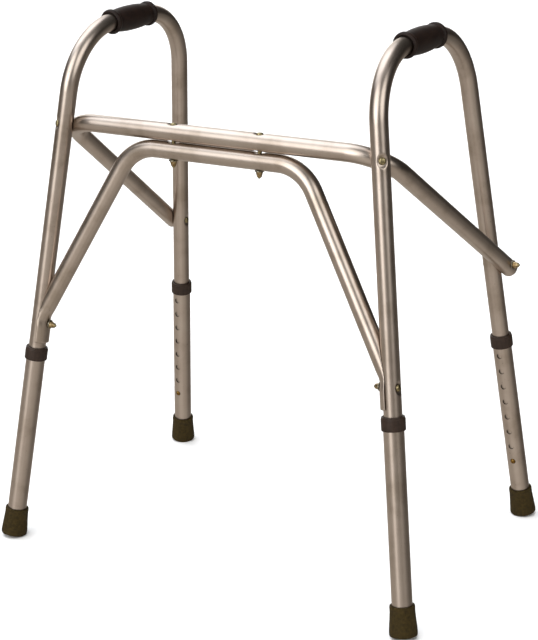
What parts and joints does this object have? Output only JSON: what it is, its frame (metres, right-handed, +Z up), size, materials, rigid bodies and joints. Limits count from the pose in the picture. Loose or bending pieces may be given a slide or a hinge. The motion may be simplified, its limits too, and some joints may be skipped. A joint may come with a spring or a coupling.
{
  "type": "walking frame",
  "caption": "Height-adjustable walking frame of bent aluminium tube with handgrips, joined front bars and braces, sliding leg extensions and rubber tips.",
  "frame": {"origin": "on the floor under the middle of the frame, at its lowest setting", "axes": "+Z up, +Y towards the user who stands in the open side, +X to the user's left as they face the front bars"},
  "size_m": [0.7084, 0.49, 0.7885],
  "materials": {
    "aluminium_tube": "satin anodised, warm champagne grey",
    "grip_vinyl": "smooth matte moulded vinyl, brown black",
    "collar_plastic": "satin moulded, dark brown",
    "tip_rubber": "matte moulded rubber, dark olive brown",
    "zinc_steel": "zinc plated, satin",
    "yellow_zinc": "yellow passivated zinc plate",
    "button_brass": "dull, slightly tarnished",
    "spring_steel": "blued spring strip"
  },
  "bodies": {
    "frame": {"side_frame_right": "aluminium_tube", "handgrip_right": "grip_vinyl", "side_frame_left": "aluminium_tube", "handgrip_left": "grip_vinyl", "upper_front_bar": "aluminium_tube", "lower_front_bar": "aluminium_tube", "button_clip_front_right": "spring_steel", "button_clip_front_left": "spring_steel", "button_clip_rear_right": "spring_steel", "button_clip_rear_left": "spring_steel", "bolt_upper_bar_right": "yellow_zinc", "washer_upper_bar_right": "zinc_steel", "nut_upper_bar_right": "zinc_steel", "bolt_upper_bar_left": "yellow_zinc", "washer_upper_bar_left": "zinc_steel", "nut_upper_bar_left": "zinc_steel", "bolt_brace_right": "yellow_zinc", "washer_brace_right": "zinc_steel", "nut_brace_right": "zinc_steel", "bolt_brace_left": "yellow_zinc", "washer_brace_left": "zinc_steel", "nut_brace_left": "zinc_steel", "bolt_lower_bar_right": "yellow_zinc", "washer_lower_bar_right": "zinc_steel", "nut_lower_bar_right": "zinc_steel", "bolt_lower_bar_left": "yellow_zinc", "washer_lower_bar_left": "zinc_steel", "nut_lower_bar_left": "zinc_steel", "bolt_front_bars_right": "yellow_zinc", "washer_front_bars_right": "zinc_steel", "nut_front_bars_right": "zinc_steel", "bolt_front_bars_left": "yellow_zinc", "washer_front_bars_left": "zinc_steel", "nut_front_bars_left": "zinc_steel"},
    "extension_front_right": {"leg_extension_front_right": "aluminium_tube", "collar_front_right": "collar_plastic", "rubber_tip_front_right": "tip_rubber", "tip_washer_front_right": "zinc_steel"},
    "button_front_right": {"snap_button_front_right": "button_brass"},
    "extension_front_left": {"leg_extension_front_left": "aluminium_tube", "collar_front_left": "collar_plastic", "rubber_tip_front_left": "tip_rubber", "tip_washer_front_left": "zinc_steel"},
    "button_front_left": {"snap_button_front_left": "button_brass"},
    "extension_rear_right": {"leg_extension_rear_right": "aluminium_tube", "collar_rear_right": "collar_plastic", "rubber_tip_rear_right": "tip_rubber", "tip_washer_rear_right": "zinc_steel"},
    "button_rear_right": {"snap_button_rear_right": "button_brass"},
    "extension_rear_left": {"leg_extension_rear_left": "aluminium_tube", "collar_rear_left": "collar_plastic", "rubber_tip_rear_left": "tip_rubber", "tip_washer_rear_left": "zinc_steel"},
    "button_rear_left": {"snap_button_rear_left": "button_brass"}
  },
  "joints": [
    {"name": "height_front_right", "type": "slide", "parent": "frame", "child": "extension_front_right", "axis": [0.1228, -0.1203, -0.9851], "range_m": [0, 0.1778], "deforming": ["snap_button_front_right"]},
    {"name": "press_front_right", "type": "slide", "parent": "frame", "child": "button_front_right", "axis": [-0.0149, -0.9927, 0.1193], "range_m": [0, 0.004], "stiffness_N_per_m": 800, "springref_m": -0.002, "deforming": ["button_clip_front_right"]},
    {"name": "height_front_left", "type": "slide", "parent": "frame", "child": "extension_front_left", "axis": [-0.1228, -0.1203, -0.9851], "range_m": [0, 0.1778], "deforming": ["snap_button_front_left"]},
    {"name": "press_front_left", "type": "slide", "parent": "frame", "child": "button_front_left", "axis": [0.0149, -0.9927, 0.1193], "range_m": [0, 0.004], "stiffness_N_per_m": 800, "springref_m": -0.002, "deforming": ["button_clip_front_left"]},
    {"name": "height_rear_right", "type": "slide", "parent": "frame", "child": "extension_rear_right", "axis": [0.1036, 0.1205, -0.9873], "range_m": [0, 0.1778], "deforming": ["snap_button_rear_right"]},
    {"name": "press_rear_right", "type": "slide", "parent": "frame", "child": "button_rear_right", "axis": [-0.0126, 0.9927, 0.1199], "range_m": [0, 0.004], "stiffness_N_per_m": 800, "springref_m": -0.002, "deforming": ["button_clip_rear_right"]},
    {"name": "height_rear_left", "type": "slide", "parent": "frame", "child": "extension_rear_left", "axis": [-0.1036, 0.1205, -0.9873], "range_m": [0, 0.1778], "deforming": ["snap_button_rear_left"]},
    {"name": "press_rear_left", "type": "slide", "parent": "frame", "child": "button_rear_left", "axis": [0.0126, 0.9927, 0.1199], "range_m": [0, 0.004], "stiffness_N_per_m": 800, "springref_m": -0.002, "deforming": ["button_clip_rear_left"]}
  ]
}
